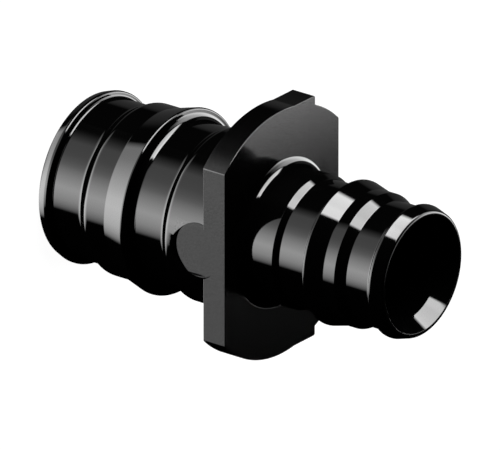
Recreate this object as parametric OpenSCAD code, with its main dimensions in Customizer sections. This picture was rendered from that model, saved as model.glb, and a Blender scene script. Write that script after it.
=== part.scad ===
// Reducing coupling for cold-expansion PEX pipe, moulded in one piece.
// It stands on the open end of its large insert, and its flow bore runs along Z.
// The flat with the round mark faces -X. The square lugs reach +Y and -Y.

/* [Large insert] */
// Diameter at the open end
large_end_d = 23.54; // [21:0.02:24]
// Diameter of the bead behind the end
large_bead_d = 24.4; // [23:0.02:26]
// Diameter of the groove behind the bead
large_groove_d = 22.7; // [20.5:0.02:24]
// Diameter of the shoulder in front of the barb
large_shoulder_d = 24.46; // [23:0.02:26]
// Diameter of the barb's crest, the widest place of the insert
large_crest_d = 26.4; // [25:0.02:28]
// Diameter of the neck behind the crest
large_neck_d = 23.2; // [21:0.02:24.4]
// Diameter of the seat next to the flange
large_seat_d = 24.6; // [23:0.02:26]
// Length of the lead-in slope at the end
large_lead_len = 1.34; // [0.6:0.02:3]
// Length of the land on the bead
large_bead_len = 0.5; // [0.2:0.02:2]
// Length of the groove's floor
large_groove_len = 4.2; // [2:0.05:7]
// Length of the slope from the groove up to the shoulder
large_rise_len = 1.75; // [0.5:0.05:3]
// Length of the shoulder
large_shoulder_len = 3.4; // [1.5:0.05:6]
// Length of the barb's slope
large_barb_len = 3.5; // [1.5:0.05:6]
// Length of the steep drop behind the crest
large_drop_len = 0.2; // [0.1:0.05:1.5]
// Length of the neck's floor
large_neck_len = 5; // [3:0.05:8]
// Length of the slope from the neck up to the seat
large_step_len = 1.5; // [0.5:0.05:3]
// Length of the seat, up to the flange
large_seat_len = 6.72; // [3:0.02:10]

/* [Small insert] */
// Diameter at the open end
small_end_d = 17.72; // [16.4:0.02:18.6]
// Diameter of the bead behind the end
small_bead_d = 18.78; // [17.8:0.02:20]
// Diameter of the groove behind the bead
small_groove_d = 17.46; // [16.2:0.02:18.6]
// Diameter of the shoulder in front of the barb
small_shoulder_d = 19; // [18:0.02:20.2]
// Diameter of the barb's crest, the widest place of the insert
small_crest_d = 20.38; // [19.4:0.02:22]
// Diameter of the neck behind the crest
small_neck_d = 18; // [16.6:0.02:19]
// Diameter of the seat next to the flange
small_seat_d = 19; // [18:0.02:20.4]
// Length of the lead-in slope at the end
small_lead_len = 1.66; // [0.6:0.02:3]
// Length of the land on the bead
small_bead_len = 0.5; // [0.2:0.02:2]
// Length of the groove's floor
small_groove_len = 3.65; // [2:0.05:6]
// Length of the slope from the groove up to the shoulder
small_rise_len = 1.45; // [0.5:0.05:3]
// Length of the shoulder
small_shoulder_len = 1.9; // [0.8:0.05:4]
// Length of the barb's slope
small_barb_len = 2.7; // [1.2:0.05:5]
// Length of the steep drop behind the crest
small_drop_len = 0.2; // [0.1:0.05:1]
// Length of the neck's floor
small_neck_len = 4.5; // [3:0.05:7]
// Length of the slope from the neck up to the seat
small_step_len = 0.9; // [0.4:0.05:2]
// Length of the seat, up to the flange
small_seat_len = 5.5; // [3:0.05:9]

/* [Barbs] */
// Length of the land on each barb's crest
crest_len = 0.46; // [0.3:0.02:1.5]
// Length of the steep drop behind each bead
bead_drop_len = 0.5; // [0.3:0.05:2]
// Radius on the outer corners of the barbs
barb_round_r = 0.15; // [0.05:0.05:0.25]
// Radius in the inner corners of the barbs
barb_fillet_r = 0.5; // [0.1:0.05:1]
// Radius of the hollow at the foot of the steep drop behind each crest
drop_foot_r = 0.95; // [0.4:0.05:1]

/* [Stop flange] */
// Diameter of the flange's round edge
flange_d = 35.8; // [31:0.1:42]
// Thickness of the flange
flange_t = 3.72; // [2.4:0.02:6]
// Width of the flange across its two flats
flange_flats_w = 25.28; // [25:0.02:30]
// Radius on the flange's edges
flange_edge_r = 0.15; // [0.1:0.05:0.8]
// Height of the square lugs' upright faces, from the round edge to the lugs' flat tops
lug_h = 1.37; // [0.4:0.01:3]
// Distance of the lugs' upright faces from the bore's axis
lug_face_x = 7.38; // [5:0.02:10]
// Radius of the fillet where the small seat meets the flange
small_root_r = 1.15; // [0.3:0.05:2]
// Radius of the fillet where the large seat meets the flange
large_root_r = 0.3; // [0.1:0.05:1]

/* [Round mark] */
// Diameter of the round flat mark, sunk into one flat of the flange and the seat behind it
mark_d = 7.84; // [5:0.02:9]
// Depth of the mark's floor below the flat
mark_depth = 0.86; // [0.3:0.02:1.6]
// Distance from the mark's centre back to the flange's rear face
mark_setback = 1.47; // [0.5:0.01:2.5]
// Radius that rounds the mark's edge where it is cut into the seat
mark_edge_r = 1; // [0.2:0.05:1.5]
// Height of the mark's upright wall, from its floor up to the rounded edge
mark_wall_h = 0.22; // [0.05:0.01:0.5]

/* [Flow bore] */
// Diameter of the bore in the large insert
large_bore_d = 17.8; // [15:0.1:18.6]
// Diameter of the bore in the small insert
small_bore_d = 13.74; // [11:0.1:14.4]
// Width of the lip at the large open end
large_lip_w = 0.56; // [0.3:0.02:1.2]
// Width of the lip at the small open end
small_lip_w = 0.58; // [0.3:0.02:1.2]
// Depth of the large mouth's cone
large_mouth_len = 3.5; // [1:0.1:6]
// Depth of the small mouth's cone
small_mouth_len = 2.2; // [1:0.1:5]
// Length of the taper between the two bores, which ends level with the flange's front
bore_taper_len = 4.5; // [2:0.1:8]

/* [Hidden] */
$fn = 96;

// Steps in each rounded corner of a profile
corner_steps = 4;
// How far a cut runs past the face that it opens
overshoot = 1;

// Shape of each insert from its open end to the flange: diameter, length up to the next one, corner radius
large_stations = [
    [large_end_d, large_lead_len, barb_round_r],
    [large_bead_d, large_bead_len, barb_round_r],
    [large_bead_d, bead_drop_len, barb_round_r],
    [large_groove_d, large_groove_len, barb_fillet_r],
    [large_groove_d, large_rise_len, barb_fillet_r],
    [large_shoulder_d, large_shoulder_len, barb_round_r],
    [large_shoulder_d, large_barb_len, barb_fillet_r],
    [large_crest_d, crest_len, barb_round_r],
    [large_crest_d, large_drop_len, barb_round_r],
    [large_neck_d, large_neck_len, drop_foot_r],
    [large_neck_d, large_step_len, barb_fillet_r],
    [large_seat_d, large_seat_len, barb_round_r]
];
small_stations = [
    [small_end_d, small_lead_len, barb_round_r],
    [small_bead_d, small_bead_len, barb_round_r],
    [small_bead_d, bead_drop_len, barb_round_r],
    [small_groove_d, small_groove_len, barb_fillet_r],
    [small_groove_d, small_rise_len, barb_fillet_r],
    [small_shoulder_d, small_shoulder_len, barb_round_r],
    [small_shoulder_d, small_barb_len, barb_fillet_r],
    [small_crest_d, crest_len, barb_round_r],
    [small_crest_d, small_drop_len, barb_round_r],
    [small_neck_d, small_neck_len, drop_foot_r],
    [small_neck_d, small_step_len, barb_fillet_r],
    [small_seat_d, small_seat_len, barb_round_r]
];

large_len = length_up_to(large_stations, len(large_stations));
small_len = length_up_to(small_stations, len(small_stations));
flange_front_z = large_len + flange_t;
total_len = flange_front_z + small_len;

large_mouth_d = large_end_d - 2 * large_lip_w;
small_mouth_d = small_end_d - 2 * small_lip_w;

// Distance from the bore's axis to the lugs' flat tops
lug_reach = sqrt(pow(flange_d / 2, 2) - pow(lug_face_x, 2)) + lug_h;

// Length of the first stations of an insert, added up
function length_up_to(stations, count) =
    count == 0 ? 0 : stations[count - 1][1] + length_up_to(stations, count - 1);

function unit(v) = v / norm(v);

// One corner of an outline, rounded to radius r or to what its two edges leave room for
function rounded_corner(before, corner, after, r) =
    let (
        back = unit(before - corner),
        ahead = unit(after - corner),
        half_angle = acos(max(-1, min(1, back * ahead))) / 2
    )
    r == 0 || half_angle > 89.5 ? [corner] :
    let (
        room = min(norm(before - corner), norm(after - corner)) / 2,
        reach = min(r / tan(half_angle), room),
        fitted_r = reach * tan(half_angle),
        centre = corner + unit(back + ahead) * fitted_r / sin(half_angle),
        start = corner + back * reach - centre,
        turn = sign(cross(-back, ahead)) * (180 - 2 * half_angle)
    )
    [
        for (i = [0 : corner_steps])
            let (a = turn * i / corner_steps)
            centre + [start.x * cos(a) - start.y * sin(a), start.x * sin(a) + start.y * cos(a)]
    ];

// A closed outline whose corners are given as [x, y, radius]
function rounded_outline(corners) =
    let (n = len(corners), p = [for (c = corners) [c.x, c.y]])
    [
        for (i = [0 : n - 1])
            each rounded_corner(p[(i + n - 1) % n], p[i], p[(i + 1) % n], corners[i].z)
    ];

// An insert standing on its open end. It runs on into the flange by half the flange's thickness.
module insert(stations) {
    count = len(stations);
    root = stations[count - 1][0] / 2;
    root_z = length_up_to(stations, count) + flange_t / 2;
    rotate_extrude()
        polygon(rounded_outline(concat(
            [[0, 0, 0]],
            [for (i = [0 : count - 1]) [stations[i][0] / 2, length_up_to(stations, i), stations[i][2]]],
            [[root, root_z, 0], [0, root_z, 0]]
        )));
}

// The fillet ring between a seat and the flange, which stops at the flange's flats
module root_fillet(seat_d, root_r) {
    seat_r = seat_d / 2;
    curve = rounded_corner([seat_r + 3 * root_r, 0], [seat_r, 0], [seat_r, 3 * root_r], root_r);
    intersection() {
        rotate_extrude()
            polygon(concat(
                [[seat_r - root_r, root_r], [seat_r - root_r, -root_r], [seat_r + root_r, -root_r]],
                curve
            ));
        cube([flange_flats_w, flange_d, 3 * root_r], center = true);
    }
}

module large_insert() {
    difference() {
        insert(large_stations);
        mark_edge_cut();
    }
    translate([0, 0, large_len])
        mirror([0, 0, 1])
            root_fillet(large_seat_d, large_root_r);
}

module small_insert() {
    translate([0, 0, total_len])
        mirror([0, 0, 1])
            insert(small_stations);
    translate([0, 0, flange_front_z])
        root_fillet(small_seat_d, small_root_r);
}

// A slab of the flange's thickness with rounded long edges, which run along Y
module rounded_slab(width, length) {
    rotate([90, 0, 0])
        linear_extrude(length, center = true)
            polygon(rounded_outline([
                [-width / 2, 0, flange_edge_r],
                [width / 2, 0, flange_edge_r],
                [width / 2, flange_t, flange_edge_r],
                [-width / 2, flange_t, flange_edge_r]
            ]));
}

// The round plate of the flange, before its flats are cut
module flange_disc() {
    rotate_extrude()
        polygon(rounded_outline([
            [0, 0, 0],
            [flange_d / 2, 0, flange_edge_r],
            [flange_d / 2, flange_t, flange_edge_r],
            [0, flange_t, 0]
        ]));
}

// A bar across the flange, whose two ends stand out of the round edge as the square lugs
module lug_bar() {
    intersection() {
        rotate([0, 0, 90])
            rounded_slab(2 * lug_reach, flange_d);
        linear_extrude(flange_t)
            polygon(rounded_outline([
                [0, -lug_reach, 0],
                [lug_face_x, -lug_reach, flange_edge_r],
                [lug_face_x, lug_reach, flange_edge_r],
                [0, lug_reach, 0]
            ]));
    }
}

// The stop flange, with two flats across X and two square lugs
module stop_flange() {
    translate([0, 0, large_len])
        intersection() {
            union() {
                flange_disc();
                lug_bar();
            }
            rounded_slab(flange_flats_w, 2 * flange_d);
        }
}

// Places a shape that stands on the mark's floor, with its own Z pointing out of the part
module at_mark() {
    translate([mark_depth - flange_flats_w / 2, 0, large_len - mark_setback])
        rotate([0, -90, 0])
            children();
}

// The solid disc under the mark's floor, which fills what the round seat leaves open
module mark_floor() {
    at_mark()
        translate([0, 0, -mark_d / 4])
            cylinder(d = mark_d, h = mark_d / 4);
}

// The straight cut that opens the mark
module mark_cut() {
    at_mark()
        cylinder(d = mark_d, h = 2 * mark_depth);
}

// The rounded edge of the mark, cut from the seat alone. It ends level with the top of the seat.
module mark_edge_cut() {
    seat_h = large_seat_d / 2 - (flange_flats_w / 2 - mark_depth);
    drop = min(mark_edge_r, max(0, seat_h - mark_wall_h));
    run = sqrt(pow(mark_edge_r, 2) - pow(mark_edge_r - drop, 2));
    sweep = acos(1 - drop / mark_edge_r);
    if (drop > 0)
        at_mark()
            rotate_extrude()
                polygon(concat(
                    [[0, seat_h + overshoot], [0, seat_h - drop], [mark_d / 2, seat_h - drop]],
                    [
                        for (i = [1 : corner_steps])
                            let (a = sweep * (1 - i / corner_steps))
                            [mark_d / 2 + run - mark_edge_r * sin(a), seat_h - mark_edge_r * (1 - cos(a))]
                    ],
                    [[mark_d / 2 + run, seat_h + overshoot]]
                ));
}

// The way for the water: a cone at each mouth, a bore in each insert and a taper between them
module flow_bore() {
    taper_z = flange_front_z - bore_taper_len;
    // The mouths' cones run on past the open ends at their own slopes
    large_slope = (large_mouth_d - large_bore_d) / 2 / large_mouth_len;
    small_slope = (small_mouth_d - small_bore_d) / 2 / small_mouth_len;
    rotate_extrude()
        polygon([
            [0, -overshoot],
            [large_mouth_d / 2 + large_slope * overshoot, -overshoot],
            [large_bore_d / 2, large_mouth_len],
            [large_bore_d / 2, taper_z],
            [small_bore_d / 2, flange_front_z],
            [small_bore_d / 2, total_len - small_mouth_len],
            [small_mouth_d / 2 + small_slope * overshoot, total_len + overshoot],
            [0, total_len + overshoot]
        ]);
}

module coupling_body() {
    color([0.03, 0.03, 0.035])
        difference() {
            union() {
                large_insert();
                stop_flange();
                mark_floor();
                small_insert();
            }
            mark_cut();
            flow_bore();
        }
}

coupling_body();
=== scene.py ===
"""A black moulded reducing coupling for PEX pipe, as a studio product picture shows it.

The coupling stands on the open end of its large insert, with its flow bore along Z.
Lengths in this file are millimetres, and MM turns them into Blender's metres.
"""

import math

import bmesh
import bpy
from mathutils import Matrix, Vector


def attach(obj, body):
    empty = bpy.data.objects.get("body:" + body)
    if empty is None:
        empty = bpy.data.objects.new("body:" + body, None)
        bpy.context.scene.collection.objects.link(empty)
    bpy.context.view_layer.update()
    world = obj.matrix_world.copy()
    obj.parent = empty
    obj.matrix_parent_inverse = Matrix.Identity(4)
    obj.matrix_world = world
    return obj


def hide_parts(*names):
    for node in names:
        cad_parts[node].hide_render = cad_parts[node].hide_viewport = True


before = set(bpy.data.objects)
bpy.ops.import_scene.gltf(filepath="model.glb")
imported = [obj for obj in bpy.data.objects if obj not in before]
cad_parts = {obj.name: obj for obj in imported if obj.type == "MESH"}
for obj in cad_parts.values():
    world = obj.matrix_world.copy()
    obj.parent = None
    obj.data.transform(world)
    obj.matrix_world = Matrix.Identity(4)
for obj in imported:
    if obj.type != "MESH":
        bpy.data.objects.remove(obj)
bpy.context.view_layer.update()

MM = 0.001

# Corner radii of the inserts
LIP_R = 0.4
RIDGE_R = 0.15
CREST_R = 0.35
BEAD_R = 0.25
BEAD_FOOT_R = 0.35
SWELL_R = 1.2
BARB_FOOT_R = 0.5
STEP_FOOT_R = 0.25
DROP_FOOT_R = 1.0

# Profile of each insert from its open end to the flange: diameter, length up to the next, corner radius
LARGE_INSERT = [
    (23.54, 1.26, LIP_R),
    (24.40, 0.54, BEAD_R),
    (24.40, 0.01, BEAD_R),
    (22.70, 5.02, BEAD_FOOT_R),
    (22.70, 1.58, SWELL_R),
    (24.46, 3.28, SWELL_R),
    (24.46, 3.50, BARB_FOOT_R),
    (26.40, 0.40, RIDGE_R),
    (26.40, 0.01, CREST_R),
    (23.20, 5.60, DROP_FOOT_R),
    (23.20, 1.15, SWELL_R),
    (24.60, 6.72, SWELL_R),
]
SMALL_INSERT = [
    (17.72, 1.80, LIP_R),
    (18.78, 0.46, RIDGE_R),
    (18.78, 0.10, CREST_R),
    (17.46, 3.95, BARB_FOOT_R),
    (17.46, 1.45, STEP_FOOT_R),
    (19.00, 1.90, RIDGE_R),
    (19.00, 2.70, BARB_FOOT_R),
    (20.38, 0.42, RIDGE_R),
    (20.38, 0.04, CREST_R),
    (18.00, 4.70, DROP_FOOT_R),
    (18.00, 0.82, STEP_FOOT_R),
    (19.00, 5.58, RIDGE_R),
]
LARGE_LEN = sum(length for diameter, length, radius in LARGE_INSERT)
SMALL_LEN = sum(length for diameter, length, radius in SMALL_INSERT)
# The seat is the stretch of an insert next to the flange
LARGE_SEAT_R = LARGE_INSERT[-1][0] / 2
SMALL_SEAT_R = SMALL_INSERT[-1][0] / 2

# Stop flange
FLANGE_R = 17.9
FLANGE_T = 3.72
FLAT_X = 12.64
LUG_FACE_X = 7.38
LUG_H = 1.37
FLANGE_EDGE_R = 0.08
PLAN_CORNER_R = 0.3
SMALL_ROOT_R = 1.15
LARGE_ROOT_R = 0.3
FRONT_Z = LARGE_LEN + FLANGE_T
TOTAL_LEN = FRONT_Z + SMALL_LEN

# Flow bore
LARGE_BORE_R = 8.9
SMALL_BORE_R = 6.87
LARGE_LIP_W = 0.56
SMALL_LIP_W = 0.58
LARGE_MOUTH_LEN = 3.5
SMALL_MOUTH_LEN = 2.2
BORE_TAPER_LEN = 4.5
LARGE_MOUTH_EDGE_R = 0.08
SMALL_MOUTH_EDGE_R = 0.02
MOUTH_FOOT_R = 0.3
TAPER_END_R = 0.5

# Round sunk mark on the flat that faces -X
MARK_R = 3.92
MARK_DEPTH = 0.86
MARK_SETBACK = 1.47
MARK_EDGE_R = 1.0
MARK_WALL_H = 0.22
MARK_Z = LARGE_LEN - MARK_SETBACK

# Finish of the plastic. The flange and the mark add the matte values to those of the glossy inserts
JET_BLACK = (0.0004, 0.0004, 0.0004, 1)
PLASTIC_IOR = 1.52
GLOSS_ROUGH_FROM = 0.03
GLOSS_ROUGH_TO = 0.07
MATTE_ROUGHNESS = 0.05
MATTE_SPECKLE = 0.5
# The grain's scale is for noise over metres, and its two heights are millimetres
GRAIN_SCALE = 5200
GRAIN_DETAIL = 3
GLOSS_GRAIN = 0.0004
MATTE_GRAIN = 0.002
# The flange's front is shaded as if it fell by this times the distance from the bore's axis squared
FRONT_CROWN = 0.00065

# Fineness of the round forms
TURN_STEPS = 288
CORNER_STEPS = 8
CORNER_TURN = math.radians(6)
FLANGE_ARC_STEP = math.radians(1.25)
FRONT_RINGS = 10
MARK_STEPS = 128
SMOOTH_UNDER = math.radians(28)
# Share of an outline's edge that one rounded corner may take
ROOM_SHARE = 0.65
# Points of a mesh that lie closer than this are one point
MERGE_WITHIN = 0.0002

# A ray's depth is 2 in a first reflection and 3 in a second, so the plastic mirrors the panels only once
PANEL_RAY_DEPTH = 2.5
# White paper: the share of the light that it gives back, and what the camera sees there in any case
PAPER_SHADE = (0.12, 0.12, 0.12, 1)
PAPER_GLOW = 0.975


def rounded_corner(before, corner, after, radius):
    """Points of one corner of an outline, rounded to radius or to what its two edges leave room for."""
    back = before - corner
    ahead = after - corner
    half_angle = back.angle(ahead) / 2
    nearly_straight = math.radians(89.5)
    if radius == 0 or half_angle > nearly_straight:
        return [corner]
    room = min(back.length, ahead.length) * ROOM_SHARE
    reach = min(radius / math.tan(half_angle), room)
    fitted = reach * math.tan(half_angle)
    inward = (back.normalized() + ahead.normalized()).normalized()
    centre = corner + inward * fitted / math.sin(half_angle)
    start = corner + back.normalized() * reach - centre
    end = corner + ahead.normalized() * reach - centre
    sweep = start.angle_signed(end)
    steps = max(2, round(abs(sweep) / CORNER_TURN))
    points = []
    for i in range(steps + 1):
        spoke = start.copy()
        spoke.rotate(Matrix.Rotation(-sweep * i / steps, 2))
        points.append(centre + spoke)
    return points


def rounded_outline(corners):
    """A closed outline from corners given as (x, y, radius)."""
    spots = [Vector((x, y)) for x, y, radius in corners]
    points = []
    for i, (x, y, radius) in enumerate(corners):
        after = spots[(i + 1) % len(spots)]
        points += rounded_corner(spots[i - 1], spots[i], after, radius)
    return points


def insert_corners(stations):
    """Corners of an insert's outer profile as (distance from the bore's axis, height, corner radius)."""
    corners = []
    height = 0.0
    for diameter, length, radius in stations:
        corners.append((diameter / 2, height, radius))
        height += length
    return corners


def root_fillet(seat_r, root_r):
    """The fillet from a seat to the flange as (distance from the bore's axis, height over the flange's face).

    Its last points lie inside the flange, which is joined to it later.
    """
    inside_flange = FLANGE_T / 4
    sink = 0.002
    arm = 3 * root_r
    seat = Vector((seat_r, arm))
    corner = Vector((seat_r, 0))
    face = Vector((seat_r + arm, 0))
    curve = rounded_corner(seat, corner, face, root_r)
    points = [(p.x, p.y) for p in curve[:-1]]
    return points + [(seat_r + root_r, -sink), (seat_r + root_r, -inside_flange)]


def body_section():
    """The closed section of both inserts and the flow bore, to the right of the bore's axis."""
    rear = [(r, LARGE_LEN - z, 0) for r, z in root_fillet(LARGE_SEAT_R, LARGE_ROOT_R)]
    front = [(r, FRONT_Z + z, 0) for r, z in root_fillet(SMALL_SEAT_R, SMALL_ROOT_R)]
    large_mouth_r = LARGE_INSERT[0][0] / 2 - LARGE_LIP_W
    small_mouth_r = SMALL_INSERT[0][0] / 2 - SMALL_LIP_W
    bore = [
        (small_mouth_r, TOTAL_LEN, SMALL_MOUTH_EDGE_R),
        (SMALL_BORE_R, TOTAL_LEN - SMALL_MOUTH_LEN, MOUTH_FOOT_R),
        (SMALL_BORE_R, FRONT_Z, TAPER_END_R),
        (LARGE_BORE_R, FRONT_Z - BORE_TAPER_LEN, TAPER_END_R),
        (LARGE_BORE_R, LARGE_MOUTH_LEN, MOUTH_FOOT_R),
        (large_mouth_r, 0, LARGE_MOUTH_EDGE_R),
    ]
    large = insert_corners(LARGE_INSERT)
    small = [(r, TOTAL_LEN - z, radius) for r, z, radius in insert_corners(SMALL_INSERT)]
    return rounded_outline(large + rear + front[::-1] + small[::-1] + bore)


def edge_cut_section():
    """Section of the ring that rounds the seat's edge round the mark, about the mark's own axis."""
    seat_h = LARGE_SEAT_R - (FLAT_X - MARK_DEPTH)
    drop = seat_h - MARK_WALL_H
    run = math.sqrt(MARK_EDGE_R ** 2 - (MARK_EDGE_R - drop) ** 2)
    sweep = math.acos(1 - drop / MARK_EDGE_R)
    inner = MARK_R / 2
    above = 2 * MARK_DEPTH
    points = [Vector((inner, seat_h - drop))]
    for i in range(CORNER_STEPS + 1):
        angle = sweep * (1 - i / CORNER_STEPS)
        across = MARK_R + run - MARK_EDGE_R * math.sin(angle)
        points.append(Vector((across, seat_h - MARK_EDGE_R * (1 - math.cos(angle)))))
    points.append(Vector((MARK_R + run, above)))
    points.append(Vector((inner, above)))
    return points


def maths(tree, operation, first, second):
    """One maths node. Each value is a socket or a number."""
    node = tree.nodes.new("ShaderNodeMath")
    node.operation = operation
    for socket, value in zip(node.inputs, (first, second)):
        if isinstance(value, (int, float)):
            socket.default_value = value
        else:
            tree.links.new(value, socket)
    return node.outputs[0]


def turning_tree():
    """Geometry Nodes that turn a closed section about Z. The section's X is the distance from the axis."""
    tree = bpy.data.node_groups.new("turned_ring", "GeometryNodeTree")
    add = tree.interface.new_socket
    add("Section", in_out="INPUT", socket_type="NodeSocketGeometry")
    add("Steps", in_out="INPUT", socket_type="NodeSocketInt")
    add("Path radius", in_out="INPUT", socket_type="NodeSocketFloat")
    add("Finish", in_out="INPUT", socket_type="NodeSocketMaterial")
    add("Ring", in_out="OUTPUT", socket_type="NodeSocketGeometry")
    group_in = tree.nodes.new("NodeGroupInput")
    group_out = tree.nodes.new("NodeGroupOutput")
    shift = tree.nodes.new("ShaderNodeCombineXYZ")
    # The path runs through the section's innermost point, and carries a section with its Y downwards,
    # so the section is moved there and turned over first
    to_path = tree.nodes.new("GeometryNodeTransform")
    to_path.inputs["Rotation"].default_value = (math.pi, 0, 0)
    outline = tree.nodes.new("GeometryNodeMeshToCurve")
    path = tree.nodes.new("GeometryNodeCurvePrimitiveCircle")
    sweep = tree.nodes.new("GeometryNodeCurveToMesh")
    realize = tree.nodes.new("GeometryNodeRealizeInstances")
    paint = tree.nodes.new("GeometryNodeSetMaterial")
    join = tree.links.new
    join(maths(tree, "MULTIPLY", group_in.outputs["Path radius"], -1), shift.inputs["X"])
    join(group_in.outputs["Section"], to_path.inputs["Geometry"])
    join(shift.outputs[0], to_path.inputs["Translation"])
    join(to_path.outputs[0], outline.inputs["Mesh"])
    join(group_in.outputs["Steps"], path.inputs["Resolution"])
    join(group_in.outputs["Path radius"], path.inputs["Radius"])
    join(path.outputs["Curve"], sweep.inputs["Curve"])
    join(outline.outputs["Curve"], sweep.inputs["Profile Curve"])
    join(sweep.outputs["Mesh"], realize.inputs["Geometry"])
    join(realize.outputs[0], paint.inputs["Geometry"])
    join(group_in.outputs["Finish"], paint.inputs["Material"])
    join(paint.outputs[0], group_out.inputs["Ring"])
    return tree


def new_object(name, data):
    """An object in the scene that holds a mesh or a camera."""
    piece = bpy.data.objects.new(name, data)
    bpy.context.scene.collection.objects.link(piece)
    return piece


def applied(piece):
    """Turns the piece's evaluated modifiers into its plain mesh."""
    bpy.context.view_layer.update()
    graph = bpy.context.evaluated_depsgraph_get()
    mesh = bpy.data.meshes.new_from_object(piece.evaluated_get(graph))
    mesh.name = piece.name
    piece.modifiers.clear()
    piece.data = mesh
    return piece


def facing_out(piece):
    """Makes a closed mesh's faces point outwards."""
    mesh = bmesh.new()
    mesh.from_mesh(piece.data)
    bmesh.ops.remove_doubles(mesh, verts=mesh.verts, dist=MERGE_WITHIN * MM)
    bmesh.ops.recalc_face_normals(mesh, faces=mesh.faces)
    if mesh.calc_volume(signed=True) < 0:
        bmesh.ops.reverse_faces(mesh, faces=mesh.faces)
    mesh.to_mesh(piece.data)
    mesh.free()
    return piece


def turned(name, section, steps, tree, finish):
    """A closed section turned about Z into a ring."""
    mesh = bpy.data.meshes.new(name)
    count = len(section)
    edges = [(i, (i + 1) % count) for i in range(count)]
    mesh.from_pydata([(p.x * MM, p.y * MM, 0) for p in section], edges, [])
    piece = new_object(name, mesh)
    modifier = piece.modifiers.new("turned_ring", "NODES")
    modifier.node_group = tree
    sizes = {"Steps": steps, "Path radius": min(p.x for p in section) * MM, "Finish": finish}
    for socket in tree.interface.items_tree:
        if socket.name in sizes:
            modifier[socket.identifier] = sizes[socket.name]
    return facing_out(applied(piece))


def flange_plan():
    """The flange's outline seen along the bore, anticlockwise, as points with rounded corners."""
    round_y = math.sqrt(FLANGE_R ** 2 - FLAT_X ** 2)
    lug_y = math.sqrt(FLANGE_R ** 2 - LUG_FACE_X ** 2)
    lug_top = lug_y + LUG_H
    # The lug's top runs level until it meets the round outline
    leave = math.asin(min(1, lug_top / FLANGE_R))
    lug_root = math.atan2(lug_y, LUG_FACE_X)
    start = math.atan2(round_y, FLAT_X)
    end = math.pi - start

    def arc(first, last):
        steps = max(2, round(abs(last - first) / FLANGE_ARC_STEP))
        for i in range(1, steps):
            angle = first + (last - first) * i / steps
            yield (FLANGE_R * math.cos(angle), FLANGE_R * math.sin(angle), 0)

    upper = [(FLAT_X, round_y, PLAN_CORNER_R)]
    upper += arc(start, lug_root)
    upper += [(LUG_FACE_X, lug_y, FLANGE_EDGE_R), (LUG_FACE_X, lug_top, PLAN_CORNER_R)]
    upper += [(FLANGE_R * math.cos(leave), lug_top, 0)]
    upper += arc(leave, end)
    upper += [(-FLAT_X, round_y, PLAN_CORNER_R)]
    lower = [(x, -y, radius) for x, y, radius in upper[::-1]]
    return rounded_outline(upper + lower)


def inset(outline, depth):
    """The outline moved inwards by depth."""
    moved = []
    count = len(outline)
    for i, point in enumerate(outline):
        before = (point - outline[i - 1]).normalized()
        after = (outline[(i + 1) % count] - point).normalized()
        side_before = Vector((-before.y, before.x))
        side_after = Vector((-after.y, after.x))
        bisector = (side_before + side_after) / (1 + side_before.dot(side_after))
        moved.append(point + bisector * depth)
    return moved


def flange_plate(finish):
    """The stop flange with its rounded edges, as a closed ring round the inserts' wall."""
    outline = flange_plan()
    count = len(outline)
    # The ring's hole ends in the middle of the wall, between the large bore and the small seat
    hole_r = (LARGE_BORE_R + SMALL_SEAT_R) / 2
    levels = []
    for i in range(CORNER_STEPS + 1):
        angle = math.pi / 2 * i / CORNER_STEPS
        depth = FLANGE_EDGE_R * (1 - math.sin(angle))
        rise = FLANGE_EDGE_R * (1 - math.cos(angle))
        levels.append((depth, rise))
    rings = [[(p.x, p.y, LARGE_LEN + rise) for p in inset(outline, depth)] for depth, rise in levels]
    rings += [[(p.x, p.y, FRONT_Z - rise) for p in inset(outline, depth)] for depth, rise in levels[::-1]]
    rim = rings[-1]
    hole = [Vector((x, y)).normalized() * hole_r for x, y, z in rim]
    for i in range(1, FRONT_RINGS + 1):
        share = i / FRONT_RINGS
        spots = [Vector(rim[k][:2]).lerp(hole[k], share) for k in range(count)]
        rings.append([(spot.x, spot.y, FRONT_Z) for spot in spots])
    rings.append([(spot.x, spot.y, LARGE_LEN) for spot in hole])
    vertices = [(x * MM, y * MM, z * MM) for ring in rings for x, y, z in ring]
    faces = []
    for row in range(len(rings)):
        here = row * count
        there = (row + 1) % len(rings) * count
        for i in range(count):
            j = (i + 1) % count
            faces.append((here + i, here + j, there + j, there + i))
    mesh = bpy.data.meshes.new("flange_plate")
    mesh.from_pydata(vertices, [], faces)
    mesh.materials.append(finish)
    return facing_out(new_object("flange_plate", mesh))


def on_mark(piece):
    """Moves a shape that stands on the mark's floor, along its own Z, to its place on the part."""
    place = Matrix.Translation(Vector((MARK_DEPTH - FLAT_X, 0, MARK_Z)) * MM)
    piece.data.transform(place @ Matrix.Rotation(-math.pi / 2, 4, "Y"))
    return piece


def mark_disc(name, low, high, finish):
    """A closed disc of the mark's outline, from height low to high above the mark's floor."""
    disc = bmesh.new()
    bmesh.ops.create_cone(
        disc,
        cap_ends=True,
        segments=MARK_STEPS,
        radius1=MARK_R * MM,
        radius2=MARK_R * MM,
        depth=(high - low) * MM,
        matrix=Matrix.Translation((0, 0, (high + low) / 2 * MM)),
    )
    mesh = bpy.data.meshes.new(name)
    disc.to_mesh(mesh)
    disc.free()
    mesh.materials.append(finish)
    return on_mark(new_object(name, mesh))


def combine(piece, other, operation):
    """Adds the other closed mesh to the piece, or cuts it away, and deletes the other."""
    modifier = piece.modifiers.new("combine", "BOOLEAN")
    modifier.operation = operation
    modifier.solver = "MANIFOLD"
    modifier.object = other
    applied(piece)
    bpy.data.objects.remove(other)


def smooth_shading(piece):
    """Smooth round forms with crisp corners, where each flat or straight face keeps its own direction."""
    piece.data.shade_smooth()
    piece.data.set_sharp_from_angle(angle=SMOOTH_UNDER)
    weighted = piece.modifiers.new("weighted_normals", "WEIGHTED_NORMAL")
    weighted.mode = "FACE_AREA"
    weighted.keep_sharp = True
    weighted.weight = 90
    return applied(piece)


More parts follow.
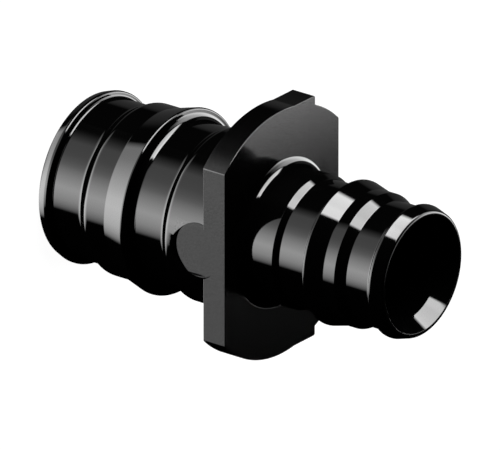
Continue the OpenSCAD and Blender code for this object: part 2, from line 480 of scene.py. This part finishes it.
def crowned_front(piece):
    """Shades the flange's flat front as if it fell away very slightly from the small insert."""
    mesh = piece.data
    directions = [corner.vector.copy() for corner in mesh.corner_normals]
    slope = 2 * FRONT_CROWN
    nearly_level = 0.999
    near = 0.0016 * MM
    for face in mesh.polygons:
        if face.normal.z < nearly_level or abs(face.center.z - FRONT_Z * MM) > near:
            continue
        for corner in face.loop_indices:
            spot = mesh.vertices[mesh.loops[corner].vertex_index].co / MM
            directions[corner] = Vector((slope * spot.x, slope * spot.y, 1)).normalized()
    mesh.normals_split_custom_set(directions)
    return piece


def moulded_coupling(finish):
    """Both inserts, the stop flange and the round mark in one closed mesh."""
    tree = turning_tree()
    piece = turned("moulded_coupling", body_section(), TURN_STEPS, tree, finish)
    edge_cut = on_mark(turned("mark_edge_cut", edge_cut_section(), MARK_STEPS, tree, finish))
    floor_depth = MARK_R / 2
    combine(piece, edge_cut, "DIFFERENCE")
    combine(piece, flange_plate(finish), "UNION")
    combine(piece, mark_disc("mark_floor", -floor_depth, 0, finish), "UNION")
    combine(piece, mark_disc("mark_cut", 0, 2 * MARK_DEPTH, finish), "DIFFERENCE")
    return crowned_front(smooth_shading(piece))


def matte_places(tree, place):
    """1 on the stop flange and on the mark, and 0 elsewhere, from the place on the part."""
    parts = tree.nodes.new("ShaderNodeSeparateXYZ")
    tree.links.new(place, parts.inputs[0])
    x, y, z = parts.outputs

    # The flange lies between its two faces, and outside the inserts and the fillet
    across = maths(tree, "ADD", maths(tree, "MULTIPLY", x, x), maths(tree, "MULTIPLY", y, y))
    clear_r = (SMALL_SEAT_R + SMALL_ROOT_R) * MM
    outside = maths(tree, "GREATER_THAN", across, clear_r ** 2)
    above = maths(tree, "GREATER_THAN", z, (LARGE_LEN - FLANGE_EDGE_R) * MM)
    under = maths(tree, "LESS_THAN", z, (FRONT_Z + FLANGE_EDGE_R) * MM)
    on_flange = maths(tree, "MULTIPLY", outside, maths(tree, "MULTIPLY", above, under))

    # The mark is what lies as far out as its floor on the -X side, above its lower edge. That takes in
    # a little of the seat beside it
    on_floor = maths(tree, "LESS_THAN", x, (MARK_WALL_H / 2 + MARK_DEPTH - FLAT_X) * MM)
    past_edge = maths(tree, "GREATER_THAN", z, (MARK_Z - MARK_R) * MM)
    return maths(tree, "MAXIMUM", on_flange, maths(tree, "MULTIPLY", on_floor, past_edge))


def black_plastic():
    """Jet black moulded plastic: deep gloss on the inserts, and a fine matte texture on the stop flange."""
    finish = bpy.data.materials.new("black_plastic")
    finish.use_nodes = True
    tree = finish.node_tree
    shader = tree.nodes["Principled BSDF"]
    shader.inputs["Base Color"].default_value = JET_BLACK
    shader.inputs["IOR"].default_value = PLASTIC_IOR
    place = tree.nodes.new("ShaderNodeTexCoord").outputs["Object"]
    matte = matte_places(tree, place)

    grain = tree.nodes.new("ShaderNodeTexNoise")
    grain.inputs["Scale"].default_value = GRAIN_SCALE
    grain.inputs["Detail"].default_value = GRAIN_DETAIL
    tree.links.new(place, grain.inputs["Vector"])
    noise = grain.outputs["Fac"]

    gloss = tree.nodes.new("ShaderNodeMapRange")
    gloss.inputs["To Min"].default_value = GLOSS_ROUGH_FROM
    gloss.inputs["To Max"].default_value = GLOSS_ROUGH_TO
    tree.links.new(noise, gloss.inputs["Value"])
    rougher = maths(tree, "MULTIPLY", matte, MATTE_ROUGHNESS)
    tree.links.new(maths(tree, "ADD", gloss.outputs["Result"], rougher), shader.inputs["Roughness"])

    # The noise's mean and the specular level of plain plastic are both a half
    half = 0.5
    speckle = maths(tree, "MULTIPLY", matte, maths(tree, "SUBTRACT", noise, half))
    shine = maths(tree, "ADD", maths(tree, "MULTIPLY", speckle, MATTE_SPECKLE), half)
    tree.links.new(shine, shader.inputs["Specular IOR Level"])

    grain_h = maths(tree, "ADD", maths(tree, "MULTIPLY", matte, MATTE_GRAIN), GLOSS_GRAIN)
    relief = maths(tree, "MULTIPLY", grain_h, noise)
    bump = tree.nodes.new("ShaderNodeBump")
    bump.inputs["Strength"].default_value = 1
    bump.inputs["Distance"].default_value = 1
    tree.links.new(maths(tree, "MULTIPLY", relief, MM), bump.inputs["Height"])
    tree.links.new(bump.outputs["Normal"], shader.inputs["Normal"])
    return finish


def studio_camera():
    """A very long lens at the photograph's angle, which shows the part with hardly any perspective."""
    to_camera = Vector((-0.728, 0.3915, 0.5625)).normalized()
    right = Vector((0, 1, 0)).cross(to_camera).normalized()
    up = to_camera.cross(right)
    frame_w = 67.85
    lens = 1540.0
    sensor = 36.0
    pixels_per_mm = 7.34
    axis_point = Vector((0, 0, 27.43))
    off_centre = Vector((0.7, 2.1)) / pixels_per_mm
    aim = axis_point - right * off_centre.x - up * off_centre.y
    distance = lens * frame_w / sensor
    data = bpy.data.cameras.new("studio_camera")
    data.lens = lens
    data.sensor_width = sensor
    data.clip_start = 0.1
    data.clip_end = 100
    camera = new_object("studio_camera", data)
    turn = Matrix((right, up, to_camera)).transposed().to_4x4()
    camera.matrix_world = Matrix.Translation((aim + to_camera * distance) * MM) @ turn
    bpy.context.scene.camera = camera


def profile(tree, value, stops):
    """A value between -1 and 1 looked up in (value, level) stops, with straight lines between them."""
    to_unit = tree.nodes.new("ShaderNodeMapRange")
    to_unit.inputs["From Min"].default_value = -1
    tree.links.new(value, to_unit.inputs["Value"])
    ramp = tree.nodes.new("ShaderNodeValToRGB")
    elements = ramp.color_ramp.elements
    while len(elements) < len(stops):
        elements.new(1)
    for element, (place, level) in zip(elements, stops):
        element.position = (place + 1) / 2
        element.color = (level, level, level, 1)
    tree.links.new(to_unit.outputs["Result"], ramp.inputs["Fac"])
    return ramp.outputs["Color"]


def along(tree, direction, axis):
    """How far the direction points along a fixed axis."""
    dot = tree.nodes.new("ShaderNodeVectorMath")
    dot.operation = "DOT_PRODUCT"
    tree.links.new(direction, dot.inputs[0])
    dot.inputs[1].default_value = axis
    return dot.outputs["Value"]


def edge(side, softness):
    """One straight edge of a panel. The panel lies where the side points, and fades within the softness."""
    side = Vector(side).normalized()
    return side, [(-softness, 0), (softness, 1)]


def soft_panel(tree, direction, strength, shades):
    """One panel of light: its strength times its shades, each a level along a fixed direction."""
    light = strength
    for axis, stops in shades:
        shade = profile(tree, along(tree, direction, axis), stops)
        light = maths(tree, "MULTIPLY", shade, light)
    return light


# The panels of light, each with its strength and its shades. They take +Y as up, which is how the camera
# is turned. A shade is a direction, and stops of how far a ray points along it and the level there
PANELS = {
    "ceiling": (14.0, [
        edge((1, 0.36, 0), 0.03),
        edge((-1, 0.61, 0.77), 0.05),
        edge((0, 0.47, 1), 0.03),
        edge((0, 0.61, -1), 0.03),
        ((1, 0, 0), [(-0.2, 1.12), (-0.1, 1.12), (0.03, 1)]),
        ((0, 0, 1), [(-0.15, 1), (0.1, 0.8)]),
    ]),
    "left": (7.2, [
        ((0, 1, 0), [(0, 1), (0.1, 0.87), (0.23, 0.7), (0.35, 0.5), (0.43, 0.34), (0.5, 0.26), (0.6, 0.19),
                     (0.75, 0.16), (0.79, 0.07), (0.82, 0)]),
        ((-0.109, 0.851, -0.514), [(-0.01, 0), (0.04, 0.27), (0.1, 0.48), (0.18, 0.7), (0.28, 0.86),
                                   (0.4, 1)]),
        ((0, 0, 1), [(-0.99, 0.04), (-0.98, 0.06), (-0.957, 0.86), (-0.93, 0.98), (-0.8, 1), (-0.56, 0.86)]),
        edge((-1, 0, -0.11), 0.05),
        edge((0.375, 0, -0.927), 0.1),
    ]),
    "front": (8.5, [
        ((0, 1, 0), [(-0.382, 0), (-0.37, 0.05), (-0.36, 0.16), (-0.35, 0.4), (-0.333, 0.65), (-0.28, 1),
                     (-0.2, 1), (-0.05, 0.8), (0.1, 0.62), (0.3, 0.56), (0.45, 0.45), (0.56, 0.4),
                     (0.585, 0)]),
        ((0.707, 0, -0.707), [(-0.19, 0), (-0.12, 0.15), (-0.05, 0.3), (0, 0.55), (0.087, 0.9), (0.17, 1)]),
        ((-0.342, 0, 0.94), [(-0.03, 0), (0.03, 1)]),
    ]),
    "right": (0.09, [
        ((0, 1, 0), [(-0.35, 0), (-0.3, 1), (0.29, 1), (0.36, 0.65), (0.4, 0.2), (0.43, 0)]),
        edge((0.93, 0, 0.37), 0.05),
        edge((0.47, 0, -0.88), 0.05),
    ]),
}


def studio_world():
    """White to the camera, and dark to the part, apart from soft panels of light."""
    world = bpy.data.worlds.new("studio")
    world.use_nodes = True
    tree = world.node_tree
    background = tree.nodes["Background"]
    direction = tree.nodes.new("ShaderNodeTexCoord").outputs["Generated"]
    light = 0
    for strength, shades in PANELS.values():
        light = maths(tree, "ADD", soft_panel(tree, direction, strength, shades), light)
    ray = tree.nodes.new("ShaderNodeLightPath")
    mirrored_once = maths(tree, "LESS_THAN", ray.outputs["Ray Depth"], PANEL_RAY_DEPTH)
    choose = tree.nodes.new("ShaderNodeMix")
    choose.data_type = "FLOAT"
    tree.links.new(ray.outputs["Is Camera Ray"], choose.inputs["Factor"])
    tree.links.new(maths(tree, "MULTIPLY", light, mirrored_once), choose.inputs["A"])
    choose.inputs["B"].default_value = 1
    tree.links.new(choose.outputs["Result"], background.inputs["Strength"])
    background.inputs["Color"].default_value = (1, 1, 1, 1)
    bpy.context.scene.world = world


def white_paper():
    """White paper that keeps a faint trace of the part's shadow."""
    paint = bpy.data.materials.new("white_paper")
    paint.use_nodes = True
    tree = paint.node_tree
    tree.nodes.remove(tree.nodes["Principled BSDF"])
    paper = tree.nodes.new("ShaderNodeBsdfDiffuse")
    paper.inputs["Color"].default_value = PAPER_SHADE
    glow = tree.nodes.new("ShaderNodeEmission")
    ray = tree.nodes.new("ShaderNodeLightPath")
    both = tree.nodes.new("ShaderNodeAddShader")
    level = maths(tree, "MULTIPLY", ray.outputs["Is Camera Ray"], PAPER_GLOW)
    tree.links.new(level, glow.inputs["Strength"])
    tree.links.new(paper.outputs[0], both.inputs[0])
    tree.links.new(glow.outputs[0], both.inputs[1])
    tree.links.new(both.outputs[0], tree.nodes["Material Output"].inputs["Surface"])
    return paint


def studio_floor():
    """The plain floor under the part. The panels of light shine through it from below."""
    half = 40000.0
    gap = 0.02
    corners = [(-half, -half), (half, -half), (half, half), (-half, half)]
    mesh = bpy.data.meshes.new("studio_floor")
    mesh.from_pydata([(x * MM, y * MM, -gap * MM) for x, y in corners], [], [(0, 1, 2, 3)])
    mesh.materials.append(white_paper())
    floor = new_object("studio_floor", mesh)
    floor.visible_glossy = False
    floor.visible_diffuse = False
    floor.visible_transmission = False
    floor.visible_shadow = False


studio_camera()
studio_world()
studio_floor()
coupling = moulded_coupling(black_plastic())
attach(coupling, "root")
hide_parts("coupling_body")

bpy.context.scene.view_settings.view_transform = "Standard"
